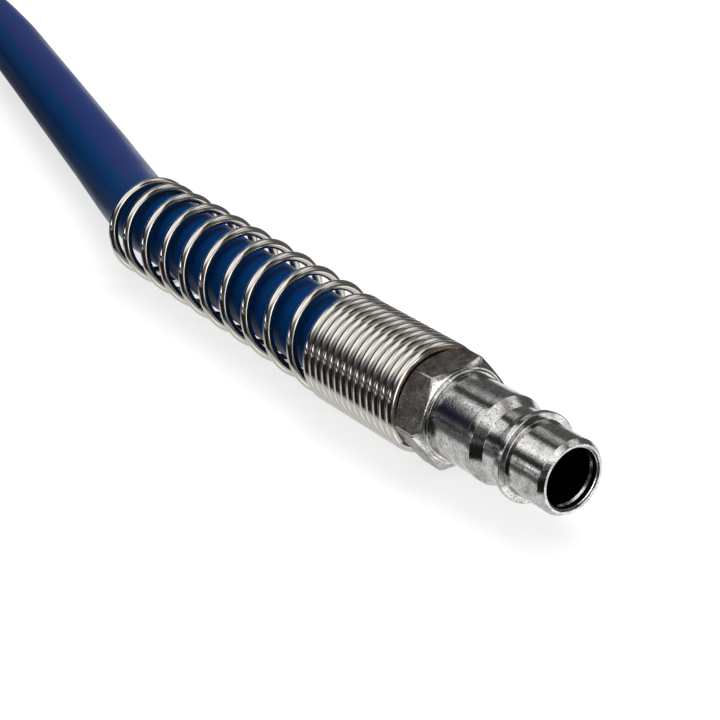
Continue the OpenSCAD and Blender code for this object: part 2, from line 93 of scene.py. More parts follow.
def add(tree, kind, inputs=None, **settings):
    """Add a node with these settings, and join it up."""
    node = tree.nodes.new(kind)
    for name, value in settings.items():
        setattr(node, name, value)
    return join(tree, node, inputs or {})


def math_of(tree, operation, a, b=0.0, c=0.0):
    """A node that calculates with up to three values, sockets or nodes."""
    return add(tree, "ShaderNodeMath", {0: a, 1: b, 2: c}, operation=operation)


def ranged(tree, value, low, high, to_low=0.0, to_high=1.0, **settings):
    """A node that stretches the range from low to high onto another one."""
    return add(tree, "ShaderNodeMapRange", {
        "Value": value, "From Min": low, "From Max": high, "To Min": to_low,
        "To Max": to_high}, **settings)


def mixed(tree, share, one, other):
    """The output of a node that mixes two colours by the share of the other."""
    return add(tree, "ShaderNodeMix", {0: share, 6: one, 7: other},
               data_type="RGBA").outputs[2]


def noise(tree, scale, detail, roughness=0.5):
    """A node of cloudy noise all through the piece, with its scale in clouds a metre."""
    where = add(tree, "ShaderNodeTexCoord").outputs["Object"]
    return add(tree, "ShaderNodeTexNoise", {
        "Vector": where, "Scale": scale, "Detail": detail, "Roughness": roughness})


def new_material(name):
    """A new material, its node tree, and the shader that stands in the tree."""
    material = bpy.data.materials.new(name)
    material.use_nodes = True
    return material, material.node_tree, material.node_tree.nodes["Principled BSDF"]


# %% [markdown]
# ## Camera
#
# The camera stands in front of the plug, a little above it, and looks back along the
# hose. A long lens keeps the plug from looking swollen.

# %% Camera
CAMERA_AT = Vector((151.39, -139.14, 109.89))
CAMERA_LOOKS = Vector((-0.73739, 0.52872, -0.42037))
FOCAL_PIXELS = 1950  # focal length, in pixels of a frame 720 pixels wide
FRAME_PIXELS = 720
SENSOR = 36

camera = bpy.data.objects.new("camera", bpy.data.cameras.new("camera"))
bpy.context.scene.collection.objects.link(camera)
camera.location = CAMERA_AT * MM
camera.rotation_mode = "QUATERNION"
camera.rotation_quaternion = CAMERA_LOOKS.to_track_quat("-Z", "Y")
camera.data.sensor_width = SENSOR
camera.data.lens = FOCAL_PIXELS / FRAME_PIXELS * SENSOR
camera.data.clip_start = 0.01
bpy.context.scene.camera = camera
bpy.context.scene.view_settings.view_transform = "Standard"
print("lens in mm:", camera.data.lens)

# %% [markdown]
# ## Sizes and helpers that many pieces share
#
# The plug lies along X with its tip at +X, and the coupler lies beside it, pointing the
# same way. Places along each are measured back from the tip or the mouth, as a turner
# would read them off the drawing.
#
# Some pieces start as a bmesh, which Python can edit face by face, and some need modifiers.
# All end as a plain mesh at the origin, and are told which body they ride on and which
# solid they stand for.

# %% Shared sizes
NOSE_BEVEL = 0.7
PLUG_TIP = Vector((NOSE_BEVEL, 0, 0))
COUPLER_MOUTH = Vector((12, -123, 4.29))
GUARD_R = 7.85
WIRE = 1.43
RESTS_AT = -7.71  # the underside of the solids, on which the hose lies
HOSE_D = 11.2
HOSE_LIES = RESTS_AT + HOSE_D / 2  # the middle of the hose where it lies flat

# %% Piece helpers
def place(piece, slot, *nodes, body="hose"):
    """Ride on a body and stand for CAD nodes; the slot is not used."""
    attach(piece, body)
    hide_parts(*nodes)
    return piece


def as_piece(name, mesh, *materials):
    """An object at the origin that shows this mesh, with these materials added to it."""
    for material in materials:
        mesh.materials.append(material)
    piece = bpy.data.objects.new(name, mesh)
    bpy.context.scene.collection.objects.link(piece)
    return piece


def as_mesh(name, shape):
    """A mesh with the faces of a bmesh, which is used up."""
    mesh = bpy.data.meshes.new(name)
    shape.to_mesh(mesh)
    shape.free()
    return mesh


def combine(piece, operation, other):
    """Add a modifier that cuts a piece with another one, or down to it."""
    step = piece.modifiers.new("combine", "BOOLEAN")
    step.operation = operation
    step.solver = "EXACT"
    step.object = other


def baked(piece):
    """The mesh of an object with its modifiers carried out."""
    ready = piece.evaluated_get(bpy.context.evaluated_depsgraph_get())
    return bpy.data.meshes.new_from_object(ready)


# %% [markdown]
# ## Floor
#
# The object lies on pale card. Most of the card's white is a glow of its own, which keeps
# the shadow beside the hose soft and pale. Reflections don't see the card, because the
# tent below stands in for it there.

# %% Floor
FLOOR_SIZE = 6  # metres
FLOOR_CLEAR = 0.15  # mm below the lowest wire
FLOOR_GLOW = 0.75  # share of the floor's white that needs no lamp


def seen_rays(tree):
    """One for a ray from the camera or from a shiny surface, and nought for others."""
    path = add(tree, "ShaderNodeLightPath").outputs
    return math_of(tree, "MAXIMUM", path["Is Camera Ray"], path["Is Glossy Ray"])


def floor_card():
    material, tree, _ = new_material("pale_floor_card")
    tree.nodes.clear()
    card = add(tree, "ShaderNodeBsdfDiffuse", {"Color": linear("#a0a0a0")})
    glow = math_of(tree, "MULTIPLY", seen_rays(tree), FLOOR_GLOW)
    light = add(tree, "ShaderNodeEmission", {"Color": linear("#ffffff"), "Strength": glow})
    both = add(tree, "ShaderNodeAddShader", {0: card, 1: light})
    add(tree, "ShaderNodeOutputMaterial", {"Surface": both})
    return material


floor_z = -GUARD_R - FLOOR_CLEAR
bpy.ops.mesh.primitive_plane_add(size=FLOOR_SIZE, location=(0, 0, floor_z * MM))
floor = bpy.context.object
floor.name = "floor"
floor.data.materials.append(floor_card())
floor.visible_glossy = False
print("floor at mm:", floor_z)

# %% [markdown]
# ## Tent
#
# Polished metal shows what stands round it more than it shows itself, so the studio
# matters as much as the plug. Round the object is a tent that only reflections see: pale
# below like the card, grey cloth above, and soft boxes of light that draw the bright
# streaks along the steel. Between them stand black flags, and they draw the dark ones.
# Lamps could do that too, but a painted tent gives each streak its own width and edge.

# %% Tent
# The panels are hung one over another, so a later one hides part of an earlier one. For
# each: compass direction and height of its middle, half its width and half its height, all
# in degrees, its brightness, where white card is 1, and how far its edge fades
PANELS = [
    (-60, 64, 84, 32, 1.0, 16),     # the wide cloth overhead, lit from outside
    (0, 84, 180, 14, 1.2, 8),
    (-152, 43, 18, 12, 1.2, 5),     # softbox in front, high on the left
    (-112, 46, 30, 14, 1.7, 7),
    (-27, 62, 38, 20, 1.6, 8),      # softbox overhead
    (-18, 32, 17, 14, 1.0, 6),
    (87, 52, 37, 12, 1.15, 7),      # softbox behind, on the far side
    (55, 24, 12, 7, 1.1, 4),
    (157, 43, 12, 6, 0.7, 4),
    (179, 47, 6, 7, 0.03, 3),
    (25, 44, 13, 20, 0.03, 5),      # its stand and the gap beside it
    (22, 18, 8, 12, 0.15, 5),
    (50, 68, 14, 4, 0.2, 4),
    (95, 72, 40, 4, 0.6, 4),
    (-98, 16, 62, 8, 0.03, 4),      # dark room seen below the softboxes
    (-62, 27, 26, 10, 0.15, 6),
    (-166, 6, 16, 6, 0.1, 4),
    (-81, -20, 43, 20, 0.02, 5),    # black flag
    (-18, -28, 22, 8, 0.12, 6),
    (-113, 3, 16, 6, 2.6, 4),       # edge of the table, which catches light
    (2, 4, 17, 17, 3.5, 5),         # card held beside the camera
    (130, -10, 22, 9, 1.0, 4),
    (42, -28, 16, 9, 1.5, 5),
    (-30, -54, 22, 9, 1.6, 8),
]
TENT_R = 1.5
CLOTH = 0.14
CARD = 0.82
CARD_EDGE = -20  # height in degrees at which the pale card below ends
CARD_SOFT = 5


def tent_cloth():
    material, tree, _ = new_material("cloth_tent_with_softboxes")
    tree.nodes.clear()
    calc = partial(math_of, tree)

    def inside(distance, half, soft):
        """One well inside a half width in degrees, nought well outside, smooth between."""
        return ranged(tree, distance, math.radians(half - soft), math.radians(half + soft),
                      1.0, 0.0, interpolation_type="SMOOTHSTEP")

    where = add(tree, "ShaderNodeTexCoord").outputs["Object"]
    toward = add(tree, "ShaderNodeVectorMath", {0: where}, operation="NORMALIZE")
    parts = add(tree, "ShaderNodeSeparateXYZ", {0: toward}).outputs
    height = calc("ARCSINE", parts["Z"])
    compass = calc("ARCTAN2", parts["Y"], parts["X"])

    below = inside(height, CARD_EDGE, CARD_SOFT)
    light = calc("MULTIPLY_ADD", below, CARD - CLOTH, CLOTH)
    for at, up, half_width, half_height, brightness, soft in PANELS:
        turned = calc("SUBTRACT", compass, math.radians(at))
        away = calc("ABSOLUTE", calc("WRAP", turned, math.pi, -math.pi))
        risen = calc("ABSOLUTE", calc("SUBTRACT", height, math.radians(up)))
        panel = calc("MULTIPLY", inside(away, half_width, soft),
                     inside(risen, half_height, soft))
        light = add(tree, "ShaderNodeMix", {0: panel, 2: light, 3: brightness})
    glow = add(tree, "ShaderNodeEmission", {"Color": linear("#ffffff"), "Strength": light})
    add(tree, "ShaderNodeOutputMaterial", {"Surface": glow})
    return material


bpy.ops.mesh.primitive_uv_sphere_add(segments=96, ring_count=48, radius=TENT_R)
tent = bpy.context.object
tent.name = "tent"
tent.data.materials.append(tent_cloth())
tent.visible_camera = tent.visible_diffuse = tent.visible_shadow = False
tent.visible_transmission = False
print("tent panels:", len(PANELS))

# %% [markdown]
# ## Even light
#
# Matt surfaces get plain even light from all round, and a large lamp high on the far side
# gives them a soft shape. Neither shows in a reflection, where there is only the tent.

# %% World and lamp
ROOM_LIGHT = 0.7  # on matt surfaces, where the white that the camera sees is 1
LAMP_AT = Vector((-0.4, 0.5, 1.4))  # metres
LAMP_SIZE = 1.0
LAMP_WATTS = 12

world = bpy.data.worlds.new("studio")
bpy.context.scene.world = world
world.use_nodes = True
sky = world.node_tree
sky.nodes.clear()
room = ranged(sky, seen_rays(sky), 0, 1, ROOM_LIGHT)
back = add(sky, "ShaderNodeBackground", {"Color": linear("#ffffff"), "Strength": room})
add(sky, "ShaderNodeOutputWorld", {"Surface": back})

lamp = bpy.data.objects.new("lamp", bpy.data.lights.new("lamp", "AREA"))
bpy.context.scene.collection.objects.link(lamp)
lamp.data.size = LAMP_SIZE
lamp.data.energy = LAMP_WATTS
lamp.location = LAMP_AT
lamp.rotation_mode = "QUATERNION"
lamp.rotation_quaternion = (-LAMP_AT).to_track_quat("-Z", "Y")
lamp.visible_glossy = lamp.visible_camera = False
print("lamp in m from the plug:", round(LAMP_AT.length, 2))

# %% [markdown]
# ## Polyurethane hose
#
# The hose is extruded ether-based polyurethane, dyed deep blue through and through. The
# die leaves it smooth, but handling dulls it, so its sheen is soft and weak. The side that
# faces the light has a violet sheen painted into its colour, and inside the guard springs
# the colour is darkened as painted shade from the wires, so the colour is mixed by which
# way the skin faces and by where it is along the hose.

# %% Hose material
# painted sheen: skin that faces this way is tinted violet in its colour
PAINTED_SHEEN_SIDE = (0, 0.82, 0.57)  # the way that the light came from
# painted shade: the hose is darker under the guard spring, up to this place along X
PAINTED_SHADE_TO, PAINTED_SHEEN_FROM = -0.098, -0.116  # the wire's shade ends here, along X in metres


def polyurethane():
    material, tree, shader = new_material("blue_polyurethane")
    texture = add(tree, "ShaderNodeTexCoord").outputs
    cloudy = noise(tree, 60, 3)
    deep = mixed(tree, cloudy, linear("#043f78"), linear("#003468"))
    # painted sheen: violet is mixed in where the skin faces the light, less under a guard
    # spring
    to_light = add(tree, "ShaderNodeVectorMath", {0: texture["Normal"], 1: PAINTED_SHEEN_SIDE},
                   operation="DOT_PRODUCT").outputs["Value"]
    facing_light = ranged(tree, to_light, 0.06, 0.24, interpolation_type="SMOOTHSTEP")
    along = add(tree, "ShaderNodeSeparateXYZ", {0: texture["Object"]}).outputs["X"]
    # painted shade: a quarter inside the guard spring, rising to one beyond it
    lit = ranged(tree, along, PAINTED_SHADE_TO, PAINTED_SHEEN_FROM, 0.25)
    violet = math_of(tree, "MULTIPLY", facing_light, lit)
    in_light = mixed(tree, violet, deep, linear("#23356c"))
    # the darker navy is painted shade from the wires
    colour = mixed(tree, lit, linear("#053061"), in_light)
    dull = ranged(tree, cloudy, 0.3, 0.7, 0.2, 0.3)
    skin = noise(tree, 900, 2)
    bump = add(tree, "ShaderNodeBump", {"Height": skin, "Strength": 0.05, "Distance": 0.0002})
    join(tree, shader, {"Base Color": colour, "Roughness": dull, "Normal": bump, "IOR": 1.5,
                        "Specular IOR Level": 0.025})
    return material


hose_blue = polyurethane()

# %% [markdown]
# ## Route of the hose
#
# Behind the plug the hose runs on a smooth curve through listed points. Then it winds
# into its coil, which lies on its side, and a second short stretch leads to the coupler. A
# Catmull-Rom curve passes through every point, so the route can be read off the list. The
# floor holds the hose up, so whatever the curve says, its middle comes no lower than
# where it lies flat.

# %% Hose route
PLUG_TAIL = [
    (-45.2, 0, 0), (-50, 0.1, 0), (-57, 0.45, 0), (-64, 0.75, 0.05), (-72, 1.05, 0.1),
    (-80, 1.4, 0.2), (-88, 1.8, 0.4), (-96, 2.2, 0.6), (-103, 2.7, 0.55), (-108, 4.4, -0.3),
    (-118, 7.5, -1.4), (-134, 12.4, -2.11), (-150, 16.8, -2.11), (-174, 23.3, -2.11),
    (-198, 29.8, -2.11), (-222, 36.1, -2.11), (-246, 41, -2.11), (-261, 42.4, -2.11),
    (-276, 38.6, -2.11), (-288.5, 29.4, -2.11), (-297, 16.5, -2.11), (-300, 1, -2.11),
    (-300, -18, -2.41), (-300, -37.6, -3.23), (-300, -48.8, -3.23)]
COUPLER_TAIL = [
    (-146.6, -71.2, -3.23), (-146.6, -82.4, -3.23), (-143.6, -96.5, -2.1), (-135.1, -110, -0.4),
    (-122.6, -119, 2.1), (-111.6, -122.6, 3.9), (-102.6, -123, 4.29), (-86.6, -123, 4.29),
    (-70.6, -123, 4.29), (-44.2, -123, 4.29)]
COIL_START = Vector((-300, -60, HOSE_LIES))
COIL_R = 53
COIL_PITCH = 11.8
COIL_LOOPS = 13
RINGS_PER_LOOP = 96


def through(points, spacing=2.5):
    """A Catmull-Rom curve through the points, with a new point about every spacing."""
    points = [Vector(point) for point in points]
    padded = [points[0], *points, points[-1]]
    curve = []
    for a, b, c, d in zip(padded, padded[1:], padded[2:], padded[3:]):
        steps = max(1, round((c - b).length / spacing))
        for t in (step / steps for step in range(steps)):
            curve.append(0.5 * (2 * b + (c - a) * t + (2 * a - 5 * b + 4 * c - d) * t**2
                                + (3 * b - a - 3 * c + d) * t**3))
    return [*curve, points[-1]]


def coil_points():
    """Loops that climb along +X and run towards -Y at the bottom."""
    points = []
    for ring in range(COIL_LOOPS * RINGS_PER_LOOP + 1):
        turn = ring / RINGS_PER_LOOP
        angle = math.tau * turn
        points.append(COIL_START + Vector((COIL_PITCH * turn, -COIL_R * math.sin(angle),
                                           COIL_R - COIL_R * math.cos(angle))))
    return points


route = [*through(PLUG_TAIL), *coil_points(), *through(COUPLER_TAIL)]
route = [Vector((p.x, p.y, max(p.z, HOSE_LIES))) * MM for p in route]

# %% [markdown]
# ## Sweeping a tube along a route
#
# A tube that follows a line is what Geometry Nodes do well: the line becomes a curve, a
# circle runs along it, and the ends are closed. The last steps take the diameter and the
# number of sides as inputs, because the springs' wire further down ends with them too.

# %% Tube tree
def new_tree(name, sizes):
    """A Geometry Nodes tree with a geometry in and out, and one named input for each size."""
    tree = bpy.data.node_groups.new(name, "GeometryNodeTree")
    tree.interface.new_socket("Geometry", in_out="INPUT", socket_type="NodeSocketGeometry")
    tree.interface.new_socket("Geometry", in_out="OUTPUT", socket_type="NodeSocketGeometry")
    for size, kind in sizes.items():
        tree.interface.new_socket(size, in_out="INPUT", socket_type="NodeSocket" + kind)
    return tree


def tube_end(tree, line, size):
    """The last nodes of a tree: sweep a circle along a line and finish it."""
    radius = math_of(tree, "MULTIPLY", size["Diameter"], 0.5)
    circle = add(tree, "GeometryNodeCurvePrimitiveCircle",
                 {"Resolution": size["Sides"], "Radius": radius})
    tube = add(tree, "GeometryNodeCurveToMesh",
               {"Curve": line, "Profile Curve": circle, "Fill Caps": True})
    smooth = add(tree, "GeometryNodeSetShadeSmooth", {"Geometry": tube})
    paint = add(tree, "GeometryNodeSetMaterial",
                {"Geometry": smooth, "Material": size["Material"]})
    add(tree, "NodeGroupOutput", {"Geometry": paint})


def tube_tree():
    tree = new_tree("tube_along_line", {"Diameter": "Float", "Sides": "Int",
                                        "Material": "Material"})
    size = add(tree, "NodeGroupInput").outputs
    line = add(tree, "GeometryNodeMeshToCurve", {"Mesh": size["Geometry"]})
    tube_end(tree, line, size)
    return tree


def grown(name, mesh, tree, sizes):
    """Run a tree on a mesh with these sizes, and keep the result as a plain mesh."""
    seed = as_piece(name + "_seed", mesh)
    modifier = seed.modifiers.new("grow", "NODES")
    modifier.node_group = tree
    for item in tree.interface.items_tree:
        if item.in_out == "INPUT" and item.name in sizes:
            modifier[item.identifier] = sizes[item.name]
    result = baked(seed)
    result.set_sharp_from_angle(angle=math.radians(50))
    bpy.data.objects.remove(seed)
    print(name, "faces:", len(result.polygons))
    return as_piece(name, result)


# %% [markdown]
# ## The hose itself
#
# All the free hose is one piece, from the end that sits on the plug's barbs to the end on
# the coupler's. It stands for three solids, so the joints between them don't show.

# %% Hose
line = bpy.data.meshes.new("hose_line")
line.from_pydata(route, [(i, i + 1) for i in range(len(route) - 1)], [])
hose = grown("hose", line, tube_tree(),
             {"Diameter": HOSE_D * MM, "Sides": 32, "Material": hose_blue})
place(hose, "blue_polyurethane", "hose_plug_tail", "hose_coil", "hose_coupler_tail")

# %% [markdown]
# ## Spring steel wire
#
# The guard springs are wound from drawn steel wire and nickel plated. Drawing leaves the
# surface smooth along the wire. Coiling adds fine rubs, and they show as small changes in
# roughness.

# %% Wire material
def drawn_wire():
    material, tree, shader = new_material("nickel_plated_spring_wire")
    rubs = noise(tree, 500, 3)
    join(tree, shader, {"Base Color": linear("#c6c2bb"), "Metallic": 1,
                        "Roughness": ranged(tree, rubs, 0.3, 0.7, 0.05, 0.12)})
    return material


wire = drawn_wire()

# %% [markdown]
# ## Wire springs
#
# A spring is a rule: the wire turns at a steady rate and climbs by one pitch a turn. A
# guard spring has close turns that grip the ferrule, and open turns over the hose. The
# winding eases from one pitch to the other, gets a little tighter towards the open end, and
# ends in a shorter turn and a flat half turn. The tree works out where each point of the
# wire is from its number alone, and lets the open turns lean with the hose.

# %% Spring tree
def spring_climb(calc, size, turn, past):
    """How far the wire has climbed after so many turns, with so many past the close ones."""
    close = calc("MINIMUM", turn, size["Close Turns"])
    even_turns = calc("SUBTRACT", size["Open Turns"], 1)
    open_part = calc("MINIMUM", past, even_turns)
    last_part = calc("MAXIMUM", calc("SUBTRACT", past, even_turns), 0)
    last_part = calc("MINIMUM", last_part, 1)
    climb = calc("MULTIPLY", close, size["Close Pitch"])
    climb = calc("ADD", climb, calc("MULTIPLY", open_part, size["Open Pitch"]))
    climb = calc("ADD", climb, calc("MULTIPLY", last_part, size["Last Pitch"]))
    squared = calc("MULTIPLY", open_part, open_part)
    climb = calc("SUBTRACT", climb, calc("MULTIPLY", squared, size["Tighten"]))
    # The pitch grows evenly over the first stretch, so the wire loses half of that growth
    uneased = calc("MAXIMUM", calc("SUBTRACT", size["Ease"], open_part), 0)
    kept = calc("DIVIDE", calc("MULTIPLY", uneased, uneased), size["Ease"])
    lost = calc("MULTIPLY", calc("SUBTRACT", size["Ease"], kept), 0.5)
    growth = calc("SUBTRACT", size["Open Pitch"], size["Close Pitch"])
    return calc("SUBTRACT", climb, calc("MULTIPLY", lost, growth))


def spring_tree():
    tree = new_tree("wire_spring", {
        "Start": "Vector", "Diameter": "Float", "Mean Radius": "Float", "Start Angle": "Float",
        "Close Turns": "Float", "Close Pitch": "Float", "Open Turns": "Float",
        "Open Pitch": "Float", "Ease": "Float", "Tighten": "Float", "Last Pitch": "Float",
        "Tip Turns": "Float", "Lean": "Float", "Sense": "Float",
        "Rings": "Int", "Sides": "Int", "Material": "Material"})
    size = add(tree, "NodeGroupInput").outputs
    calc = partial(math_of, tree)
    index = add(tree, "GeometryNodeInputIndex")
    turn = calc("DIVIDE", index, size["Rings"])
    past = calc("MAXIMUM", calc("SUBTRACT", turn, size["Close Turns"]), 0)
    climb = spring_climb(calc, size, turn, past)
    leant = calc("MINIMUM", calc("DIVIDE", past, size["Open Turns"]), 1)
    left = calc("SUBTRACT", 1, leant)
    lean = calc("MULTIPLY", size["Lean"], calc("SUBTRACT", 1, calc("POWER", left, 2)))
    swing = calc("MULTIPLY", calc("MULTIPLY", turn, math.tau), size["Sense"])
    angle = calc("ADD", swing, size["Start Angle"])
    across = calc("MULTIPLY", size["Mean Radius"], calc("COSINE", angle))
    up = calc("MULTIPLY", size["Mean Radius"], calc("SINE", angle))
    point = add(tree, "ShaderNodeCombineXYZ", {
        "X": calc("MULTIPLY", climb, -1), "Y": calc("ADD", across, lean), "Z": up})
    moved = add(tree, "ShaderNodeVectorMath", {0: point, 1: size["Start"]}, operation="ADD")

    turns = calc("ADD", size["Close Turns"], size["Open Turns"])
    turns = calc("ADD", turns, size["Tip Turns"])
    count = calc("ADD", calc("MULTIPLY", turns, size["Rings"]), 1)
    points = add(tree, "GeometryNodeMeshLine", {"Count": count})
    bent = add(tree, "GeometryNodeSetPosition", {"Geometry": points, "Position": moved})
    line = add(tree, "GeometryNodeMeshToCurve", {"Mesh": bent})
    tube_end(tree, line, size)
    return tree


springs = spring_tree()

# %% [markdown]
# ## Guard springs
#
# Each guard spring is pushed over its ferrule until the first turn rests on the hexagon:
# on the cone behind the plug's, and flat against the adapter's. The numbers of turns were
# counted, and the other sizes measured against the collar of the plug.

# %% Guard springs
GUARD = {
    "Diameter": WIRE * MM, "Mean Radius": (GUARD_R - WIRE / 2) * MM,
    "Close Turns": 13.08, "Close Pitch": 1.435 * MM,
    "Open Turns": 10.1, "Open Pitch": 6.45 * MM,
    "Ease": 0.8, "Tighten": 0.05 * MM, "Last Pitch": 4.2 * MM, "Tip Turns": 0.5,
    "Start Angle": math.radians(215), "Sense": -1.0,
    "Rings": 64, "Sides": 20, "Material": wire}
ADAPTER_END = 36.7
TOUCH_GAP = 0.03
ON_PLUG_CONE = 26.55  # the first turn's middle, where it rests on the cone
ON_ADAPTER = ADAPTER_END + WIRE / 2 + TOUCH_GAP
PLUG_GUARD_LEAN = 1.9  # how far the open end leans over with the hose


def guard_spring(name, tip, back, lean):
    """A guard spring whose first turn has its middle this far back from the tip."""
    start = tip - Vector((back, 0, 0))
    sizes = {**GUARD, "Start": start * MM, "Lean": lean * MM}
    return grown(name, bpy.data.meshes.new(name), springs, sizes)


plug_guard = guard_spring("plug_guard", PLUG_TIP, ON_PLUG_CONE, PLUG_GUARD_LEAN)
place(plug_guard, "spring_wire", "plug_guard_spring")
coupler_guard = guard_spring("coupler_guard", COUPLER_MOUTH, ON_ADAPTER, 0)
place(coupler_guard, "spring_wire", "coupler_guard_spring")

# %% [markdown]
# ## Turned steel
#
# The plug is turned from steel bar and nickel plated. The tool leaves fine rings round it,
# which blur reflections along the plug and keep them sharp round it. Plating wets every
# ring but leaves small pits. The flats of the hexagon are not turned: they are the drawn
# skin of the bar, duller and darker. The cones that slope back from the hexagons take a
# pale brown: partly plate that a spring has rubbed, partly painted light that keeps the
# shaded gap before the first turn from going black. The bore is painted near black, as
# painted shade. All four are one recipe with other numbers.

# %% Nickel plate
def ringed(tree, spacing):
    """A height that repeats in rings along X, at this spacing in metres, with some jitter."""
    where = add(tree, "ShaderNodeTexCoord").outputs["Object"]
    parts = add(tree, "ShaderNodeSeparateXYZ", {0: where}).outputs
    along = math_of(tree, "MULTIPLY", parts["X"], 1 / spacing)
    return add(tree, "ShaderNodeTexNoise", {"W": along, "Scale": 1.0, "Detail": 2},
               noise_dimensions="1D")


def nickel_plate(name, colour, stained, roughness, grain, ring_spacing, ring_depth, metallic=1):
    """Plated steel. Grain and ring depth are heights in metres."""
    material, tree, shader = new_material(name)
    clouds = noise(tree, 700, 5, 0.65)
    stain = ranged(tree, clouds, 0.4, 0.7)
    plate = mixed(tree, stain, linear(colour), linear(stained))
    grit = noise(tree, 4500, 3, 0.6)
    pit = ranged(tree, grit, 0.56, 0.66, 0.0, 0.85)
    ring_bump = add(tree, "ShaderNodeBump", {
        "Height": ringed(tree, ring_spacing), "Strength": 0.35, "Distance": ring_depth})
    bump = add(tree, "ShaderNodeBump", {
        "Height": grit, "Strength": 1.0, "Distance": grain, "Normal": ring_bump})
    join(tree, shader, {
        "Base Color": mixed(tree, pit, plate, linear("#2a2724")), "Metallic": metallic,
        "Roughness": ranged(tree, clouds, 0.35, 0.7, roughness, roughness + 0.12),
        "Normal": bump})
    return material


turned_nickel = nickel_plate("nickel_plated_turned_steel", "#d0cfcd", "#9b9893", 0.06,
                             0.000012, 0.00012, 0.00001)
drawn_nickel = nickel_plate("nickel_plated_drawn_bar", "#96918c", "#4c4743", 0.24,
                            0.00007, 0.0008, 0.00001)
# pale tan for the rear cones: partly rubbed plate, partly painted light that lifts the shaded
# gap
rubbed_plate_painted_light = nickel_plate("rubbed_brown_plate_painted_light", "#bda88d", "#75604c", 0.4,
                            0.00002, 0.0008, 0.00001, metallic=0.3)
# painted shade: the bore's near-black colour stands for the shade deep inside it
bore_painted_shade = nickel_plate("bored_steel_painted_shade", "#26231f", "#12110f", 0.4,
                         0.00001, 0.0003, 0.00002)

# %% [markdown]
# ## Turned pieces
#
# A lathe makes its piece from one outline, and so does a spin here. Each corner of the
# outline says how far back it is, its radius, and how much it is rounded. The rounding is
# a small arc, because a perfectly sharp edge never catches the light.

# %% Lathe
ARC_STEPS = 5
LONGEST_ARC = 0.45  # of the side that the arc eats into
SAME_POINT = 1e-7  # metres


def rounded(corners):
    """Corners of an outline as points, each (back, radius, rounding) turned into an arc."""
    points = []
    for i, (back, radius, rounding) in enumerate(corners):
        here = Vector((back, radius))
        if not rounding:
            points.append(here)
            continue
        before = Vector(corners[i - 1][:2])
        after = Vector(corners[(i + 1) % len(corners)][:2])
        to_before, to_after = (before - here), (after - here)
        half = to_before.angle(to_after) / 2
        reach = min(rounding / math.tan(half),
                    LONGEST_ARC * min(to_before.length, to_after.length))
        start = here + to_before.normalized() * reach
        end = here + to_after.normalized() * reach
        for step in range(ARC_STEPS + 1):
            t = step / ARC_STEPS
            points.append(start * (1 - t) ** 2 + here * (2 * t * (1 - t)) + end * t**2)
    return points


def turned(name, outline, mouth, segments=160):
    """Spin a closed outline round the X line through the mouth, and return its mesh."""
    points = rounded(outline)
    shape = bmesh.new()
    rings = []
    for s in range(segments):
        angle = math.tau * s / segments
        rings.append([shape.verts.new((mouth + Vector((
            -back, radius * math.cos(angle), radius * math.sin(angle)))) * MM)
            for back, radius in points])
    for ring, after in zip(rings, rings[1:] + rings[:1]):
        for i in range(len(points)):
            j = (i + 1) % len(points)
            shape.faces.new((ring[i], ring[j], after[j], after[i]))
    bmesh.ops.remove_doubles(shape, verts=shape.verts, dist=SAME_POINT)
    bmesh.ops.recalc_face_normals(shape, faces=shape.faces)
    mesh = as_mesh(name, shape)
    mesh.shade_smooth()
    mesh.set_sharp_from_angle(angle=math.radians(40))
    return mesh


# %% [markdown]
# ## Plug
#
# From the tip back: a bevelled nose, the collar that the balls of a coupler hold, the
# groove behind it, a shoulder, the shank and a thin step before the hexagon. They are one
# outline, which turns round at the hexagon and comes back as the bore.

# %% Plug outline
NOSE_R, COLLAR_R, GROOVE_R, SHOULDER_R, SHANK_R = 5.0, 6.0, 5.1, 6.0, 5.9
PASSAGE_R, BORE_LIP_R, TAIL_BORE_R = 3.75, 4.0, 2.3
BORE_AT = 0.3  # where the painted shade of the bore starts
BORE_STEP = (1.0, 1.3)  # a small bright cone inside the mouth, from here to there
COLLAR_AT, COLLAR_BACK = 6.65, 7.4
GROOVE_AT, GROOVE_BACK = 8.85, 10.85
SHOULDER_AT, SHANK_AT = 12.3, 13.3
HEX_AT, HEX_BACK = 20.83, 26.4
HEX_FRONT_R = 6.6
OVERLAP = 0.5  # how far a turned piece reaches into the hexagon next to it

front = [
    (0, 4.17, 0.1), (0, 4.55, 0.08), (NOSE_BEVEL, NOSE_R, 0.25),
    (COLLAR_AT, NOSE_R, 0.12), (COLLAR_AT, COLLAR_R, 0.12), (COLLAR_BACK, COLLAR_R, 0.15),
    (GROOVE_AT, GROOVE_R, 0.3), (GROOVE_BACK, GROOVE_R, 0.3),
    (SHOULDER_AT, SHOULDER_R, 0.15), (SHANK_AT, SHOULDER_R, 0.1),
    (SHANK_AT + 0.15, SHANK_R, 0.05), (HEX_AT - 0.52, SHANK_R, 0.05),
    (HEX_AT - 0.46, SHANK_R - 0.1, 0.04), (HEX_AT - 0.36, SHANK_R - 0.1, 0.04),
    (HEX_AT - 0.36, SHANK_R + 0.32, 0.12), (HEX_AT - 0.1, SHANK_R + 0.42, 0.04),
    (HEX_AT - 0.1, HEX_FRONT_R, 0.06), (HEX_AT + OVERLAP, HEX_FRONT_R, 0)]
inside = [
    (HEX_AT + OVERLAP, PASSAGE_R, 0), (BORE_STEP[1], PASSAGE_R, 0.05),
    (BORE_STEP[0], BORE_LIP_R - 0.07, 0.05), (0.32, BORE_LIP_R - 0.05, 0.05),
    (0.26, BORE_LIP_R + 0.1, 0.04)]
plug_front = turned("plug_front", front + inside, PLUG_TIP)
print("plug front faces:", len(plug_front.polygons))

